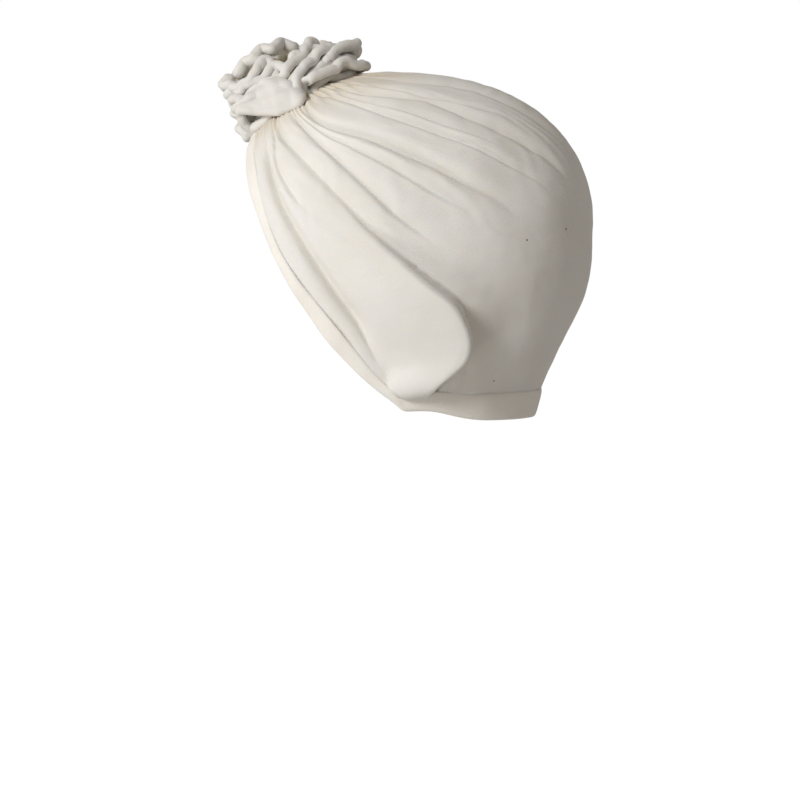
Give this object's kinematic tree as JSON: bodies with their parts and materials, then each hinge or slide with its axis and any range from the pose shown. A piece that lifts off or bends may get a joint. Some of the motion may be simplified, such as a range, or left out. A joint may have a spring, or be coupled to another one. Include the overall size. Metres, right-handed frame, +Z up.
{
  "type": "turban hat",
  "caption": "Soft stretch-jersey turban cap that covers the head and ears, with folds gathered to the front, a ruffled rosette over the gathers and a folded edge band round the opening.",
  "frame": {"origin": "where the inside of the crown rests on top of the wearer's head, midway between the ears", "axes": "+Z up, -Y the way the wearer faces, +X the wearer's left"},
  "size_m": [0.1674, 0.179, 0.1832],
  "materials": {
    "crown_jersey": "soft matt stretch jersey with fine ribs",
    "band_jersey": "soft matt stretch jersey, folded double",
    "ruffle_jersey": "soft matt stretch jersey, doubled frill with rolled edges"
  },
  "bodies": {
    "root": {"crown": "crown_jersey", "edge_band": "band_jersey", "ruffle_outer": "ruffle_jersey", "ruffle_second": "ruffle_jersey", "ruffle_third": "ruffle_jersey", "ruffle_heart": "ruffle_jersey"}
  },
  "joints": []
}
